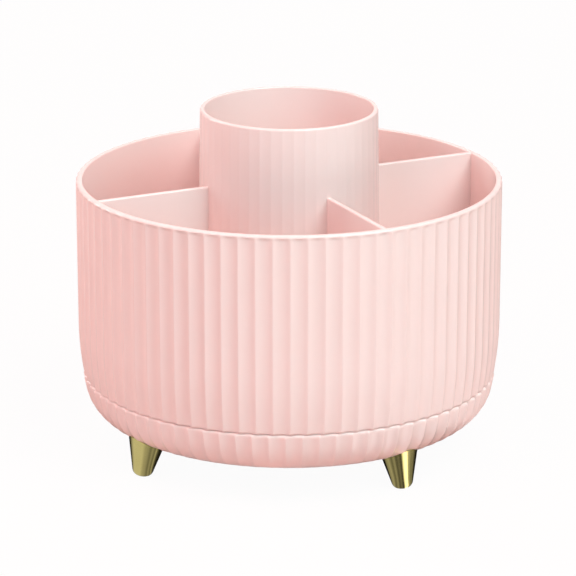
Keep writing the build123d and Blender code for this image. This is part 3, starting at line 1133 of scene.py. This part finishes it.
@dataclass
class Mechanism:
    """Turntable, pivot, screws and floor, which keep their solids."""

    nodes: dict[str, bpy.types.Object]
    pink: bpy.types.Material
    acetal: bpy.types.Material
    steel: bpy.types.Material
    pink_nodes: tuple[str, ...] = ("floor_plate",)
    acetal_nodes: tuple[str, ...] = ("upper_race_ring", "lower_race_ring", "ball_retainer", "pivot_bush")
    bearing_nodes: tuple[str, ...] = ("bearing_balls", "pivot_axle", "pivot_washer", "pivot_nut")
    screw_nodes: tuple[str, ...] = ("floor_screws", "cup_screws", "leg_screws")

    def dress(self) -> None:
        """Give each solid its finish."""
        finishes = {name: self.pink for name in self.pink_nodes}
        finishes |= {name: self.acetal for name in self.acetal_nodes}
        finishes |= {name: self.steel for name in self.bearing_nodes + self.screw_nodes}
        for name, material in finishes.items():
            data = self.nodes[name].data
            data.materials.clear()
            data.materials.append(material)
            LOG.info("%s: %s", name, material.name)


def show_to_gloss(card: bpy.types.Object, *materials: bpy.types.Material) -> None:
    """Add a piece of the stage that only reflections see.

    Args:
        card: The piece.
        materials: Materials to give it.
    """
    for material in materials:
        card.data.materials.append(material)
    card.visible_camera = card.visible_diffuse = card.visible_shadow = False
    card.visible_transmission = False


@dataclass
class ReflectionCard:
    """Round floor card that only gloss sees, brighter in some directions, in millimetres: its glow is a
    painted reflection, highlight where bright and painted shade where near black.
    """

    name: str
    radius: float
    lift: float
    stops: Stops
    tint: Colour = WHITE
    whitening: float = 0.5
    segments: int = 120
    levels: int = 40

    @property
    def brightest(self) -> float:
        """Greatest strength among the stops."""
        return max(strength for _, strength in self.stops)

    def glow(self, angle: float) -> float:
        """Strength in a direction, from the stops on either side of it.

        Args:
            angle: Direction in degrees from the card's own zero.

        Returns:
            The strength.
        """
        for (start, low), (end, high) in zip(self.stops, self.stops[1:]):
            if start <= angle <= end:
                return low + (high - low) * (angle - start) / (end - start)
        return self.stops[-1][1]

    def build(self, reach: float, angle: float) -> None:
        """Lay the card.

        Args:
            reach: Distance of its middle from the organizer's axis, in millimetres.
            angle: Direction of its middle and of its own zero, in degrees.
        """
        mesh = bmesh.new()
        bmesh.ops.create_circle(
            mesh, cap_ends=True, cap_tris=True, segments=self.segments, radius=self.radius * MM
        )
        for face in mesh.faces:
            middle = face.calc_center_median()
            glow = self.glow(math.degrees(math.atan2(middle.y, middle.x)))
            face.material_index = round(glow / self.brightest * (self.levels - 1))
        turn = Matrix.Rotation(math.radians(angle), 4, "Z")
        shift = Matrix.Translation((reach * MM, 0, self.lift * MM))
        bmesh.ops.transform(mesh, matrix=turn @ shift, verts=mesh.verts)
        materials = [self._material(level) for level in range(self.levels)]
        show_to_gloss(store_mesh(self.name, mesh), *materials)

    def _material(self, level: int) -> bpy.types.Material:
        """Glow of one level, whiter as it grows stronger.

        Args:
            level: Number of the level, from 0.

        Returns:
            The material.
        """
        material, shader = new_material(f"{self.name}_{level}")
        strength = self.brightest * (level / (self.levels - 1))
        colour = Vector(self.tint).lerp(Vector(WHITE), min(strength * self.whitening, 1.0))
        shader.finish(shader.light("ShaderNodeEmission", tuple(colour), strength))
        return material


@dataclass
class HorizonBand:
    """Rosy band round the studio that only gloss sees, in metres: its glow paints a rosy reflection on
    the rims and the flute ridges.
    """

    name: str = "horizon_band"
    radius: float = 2.4
    low: float = 0.2
    high: float = 1.7
    colour: Colour = (1.0, 0.77, 0.75)
    glow: float = 0.95
    segments: int = 96

    def build(self) -> None:
        """Spin the band about the organizer's axis."""
        mesh = bmesh.new()
        ends = [mesh.verts.new((self.radius, 0, height)) for height in (self.low, self.high)]
        spin_round(mesh, [*ends, mesh.edges.new(ends)], self.segments)
        material, shader = new_material(self.name)
        shader.finish(shader.light("ShaderNodeEmission", self.colour, self.glow))
        show_to_gloss(finish_mesh(self.name, mesh), material)


@dataclass(frozen=True)
class SoftBox:
    """Area lamp that faces the organizer, in degrees, metres and watts.

    Its turn is to the right of the camera and its rise above the horizontal. A lamp that is not glossy
    leaves no highlight.
    """

    name: str
    turn: float
    rise: float
    size: tuple[float, float]
    power: float
    colour: Colour = WHITE
    glossy: bool = True
    reach: float = 1.5

    def hang(self, azimuth: float, aim_height: float) -> None:
        """Hang the lamp.

        Args:
            azimuth: Turn of the camera about the organizer, in degrees.
            aim_height: Height that the lamp faces, in metres.
        """
        data = bpy.data.lights.new(self.name, "AREA")
        data.shape, data.energy, data.color = "RECTANGLE", self.power, self.colour
        data.size, data.size_y = self.size
        lamp = bpy.data.objects.new(self.name, data)
        around, up = math.radians(azimuth + self.turn), math.radians(self.rise)
        out = Vector((math.cos(up) * math.sin(around), -math.cos(up) * math.cos(around), math.sin(up)))
        lamp.location = Vector((0, 0, aim_height)) + out * self.reach
        lamp.rotation_euler = (-out).to_track_quat("-Z", "Y").to_euler()
        lamp.visible_glossy = self.glossy
        bpy.context.scene.collection.objects.link(lamp)


LAMPS = (
    SoftBox("key_strip", turn=42, rise=24, size=(0.4, 1.2), power=1.6, colour=(0.2, 0.8, 1.0)),
    SoftBox("front_strip", turn=-22, rise=20, size=(0.3, 1.0), power=3.8, colour=(0.32, 0.82, 0.95)),
    SoftBox("left_strip", turn=-114, rise=15, size=(0.4, 1.2), power=9.0, colour=(0.84, 0.97, 0.95)),
    SoftBox("back_strip", turn=180, rise=15, size=(0.5, 1.2), power=10.0, glossy=False),
    SoftBox("key_box", turn=40, rise=45, size=(1.0, 1.0), power=15.2, colour=(0.56, 0.97, 0.96)),
    SoftBox("fill_box", turn=-55, rise=40, size=(1.0, 1.0), power=9.2, colour=(0.8, 0.7, 0.7)),
    SoftBox(
        "high_box", turn=60, rise=62, size=(1.1, 1.1), power=15.8, colour=(0.88, 0.68, 0.69), glossy=False
    ),
    SoftBox(
        "rosy_box", turn=-60, rise=62, size=(1.1, 1.1), power=6.8, colour=(1.0, 0.25, 0.22), glossy=False
    ),
)


@dataclass
class Studio:
    """Camera, floor, reflection cards, world and lamps, in metres but for the cards in millimetres."""

    lens: float = 199.5
    sensor: float = 36.0
    azimuth: float = 19.02
    pitch: float = 17.557
    camera_place: Point = (0.3764, -1.0931, 0.4255)
    clip: tuple[float, float] = (0.01, 50.0)
    floor_half: float = 6.0
    floor_cells: int = 4
    floor_card_radius: float = 900.0
    floor_card_lift: float = 0.05
    floor_card_tint: Colour = (1.0, 0.5, 0.45)
    leg_card_radius: float = 46.0
    leg_card_lift: float = 0.1
    soft_glow: float = 0.02
    white_glow: float = 1.0
    aim_height: float = 0.06

    @property
    def towards_camera(self) -> float:
        """Direction of the camera seen from above, in degrees from the x axis."""
        return self.azimuth - 90

    def build(self) -> None:
        """Set up the whole studio."""
        self._camera()
        self._floor()
        self._cards()
        HorizonBand().build()
        self._world()
        for lamp in LAMPS:
            lamp.hang(self.azimuth, self.aim_height)
        bpy.context.scene.view_settings.view_transform = "Standard"

    def _camera(self) -> None:
        """Place the camera where the photograph was taken from."""
        data = bpy.data.cameras.new("camera")
        data.lens, data.sensor_width = self.lens, self.sensor
        data.clip_start, data.clip_end = self.clip
        camera = bpy.data.objects.new("camera", data)
        camera.location = self.camera_place
        camera.rotation_euler = (math.radians(90 - self.pitch), 0, math.radians(self.azimuth))
        bpy.context.scene.collection.objects.link(camera)
        bpy.context.scene.camera = camera

    def _floor(self) -> None:
        """Lay the pale floor."""
        mesh = bmesh.new()
        cells = self.floor_cells
        bmesh.ops.create_grid(mesh, x_segments=cells, y_segments=cells, size=self.floor_half)
        floor = store_mesh("floor", mesh)
        floor.data.materials.append(FloorPaper().material())

    def _cards(self) -> None:
        """Lay one card under the whole organizer and one under each leg: painted reflections, highlight
        lines in the flutes and highlight stripes and shade on the legs.
        """
        floor_card = ReflectionCard(
            "floor_card", self.floor_card_radius, self.floor_card_lift, FLOOR_GLOW, self.floor_card_tint
        )
        floor_card.build(0.0, self.towards_camera)
        for number in range(Legs.count):
            glow = RIGHT_LEG_GLOW if number % 2 else LEFT_LEG_GLOW
            name = f"leg_card_{number + 1}"
            card = ReflectionCard(name, self.leg_card_radius, self.leg_card_lift, glow)
            card.build(Legs.circle, Legs.turn + 360 / Legs.count * number)

    def _world(self) -> None:
        """Light the surroundings softly and show white behind the object."""
        world = bpy.data.worlds.new("studio")
        bpy.context.scene.world = world
        world.use_nodes = True
        shader = Shader(world.node_tree, "ShaderNodeOutputWorld")
        seen = shader.seen_directly()
        soft = shader.light("ShaderNodeBackground", WHITE, self.soft_glow)
        white = shader.light("ShaderNodeBackground", WHITE, self.white_glow)
        shader.finish(shader.blend(seen, soft, white))


def main() -> None:
    """Build the organizer's pieces in order."""
    logging.basicConfig(level=logging.INFO, format="%(message)s")
    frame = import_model()
    Studio().build()
    finishes = (PINK_FINISH, GOLD_FINISH, STEEL_FINISH, ACETAL_FINISH)
    pink, gold, steel, acetal = (finish.material() for finish in finishes)
    wall = WallCurve()
    cup = BrushCup(pink)
    Drum(wall, pink).build()
    cup.build()
    Dividers(wall, cup, pink).build()
    Dish(wall, pink).build()
    Legs(wall, gold).build()
    Mechanism(frame["nodes"], pink, acetal, steel).dress()


if __name__ == "__main__":
    main()
